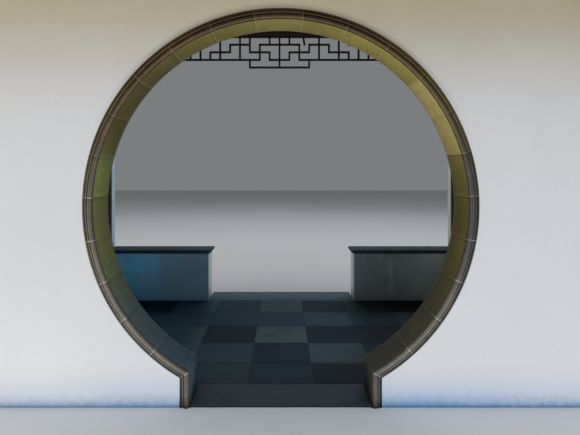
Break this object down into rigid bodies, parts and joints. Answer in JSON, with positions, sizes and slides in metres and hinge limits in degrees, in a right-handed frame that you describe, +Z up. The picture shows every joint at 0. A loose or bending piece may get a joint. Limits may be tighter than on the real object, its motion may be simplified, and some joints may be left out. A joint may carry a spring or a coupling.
{
  "type": "moon gate",
  "caption": "White plastered garden gatehouse with a round moulded gateway in its front wall, a small tiled porch behind it, low rear walls and a hanging timber lattice.",
  "frame": {"origin": "on the ground under the middle of the round opening, in the middle of the front wall's thickness", "axes": "+X to the right along the wall as seen from the front, +Y through the gate into the porch, +Z up"},
  "size_m": [4.54, 3.336, 4.5391],
  "materials": {
    "lime_plaster": "lime plaster on brick, brushed smooth, white with faint stains",
    "surround_grey_brick": "ground grey brick mouldings and lining slabs, matt",
    "floor_tile": "square grey clay floor tiles, worn smooth",
    "threshold_granite": "dressed granite, speckled",
    "kerb_stone": "pale dressed stone",
    "coping_tile": "moulded grey clay slabs, matt",
    "post_base_stone": "turned granite, fine-pointed",
    "dark_timber": "dark brown oiled timber",
    "roof_timber": "brown oiled roof timber",
    "roof_tile": "small grey clay roof tiles on boards, matt",
    "ridge_tile": "grey ridge tiles with lime mortar"
  },
  "bodies": {
    "root": {"front_wall_foot_left": "lime_plaster", "front_wall_foot_right": "lime_plaster", "front_wall_shoulder_left": "lime_plaster", "front_wall_shoulder_right": "lime_plaster", "front_wall_over_gate": "lime_plaster", "surround_keystone": "surround_grey_brick", "surround_segments_left": "surround_grey_brick", "surround_segments_right": "surround_grey_brick", "surround_jamb_left": "surround_grey_brick", "surround_jamb_right": "surround_grey_brick", "threshold_stone": "threshold_granite", "porch_floor": "floor_tile", "rear_kerb": "kerb_stone", "low_wall_left": "lime_plaster", "low_wall_right": "lime_plaster", "low_wall_coping_left": "coping_tile", "low_wall_coping_right": "coping_tile", "side_wall_left": "lime_plaster", "side_wall_right": "lime_plaster", "gable_left": "lime_plaster", "gable_right": "lime_plaster", "post_left": "dark_timber", "post_right": "dark_timber", "post_base_left": "post_base_stone", "post_base_right": "post_base_stone", "rear_beam": "dark_timber", "hanging_lattice": "dark_timber", "front_eave_purlin": "roof_timber", "front_middle_purlin": "roof_timber", "ridge_purlin": "roof_timber", "rear_middle_purlin": "roof_timber", "rear_eave_purlin": "roof_timber", "front_rafters": "roof_timber", "rear_rafters": "roof_timber", "front_eave_board": "roof_timber", "rear_eave_board": "roof_timber", "roof_front_slope": "roof_tile", "roof_rear_slope": "roof_tile", "ridge_bed": "ridge_tile", "roof_ridge": "ridge_tile"}
  },
  "joints": []
}
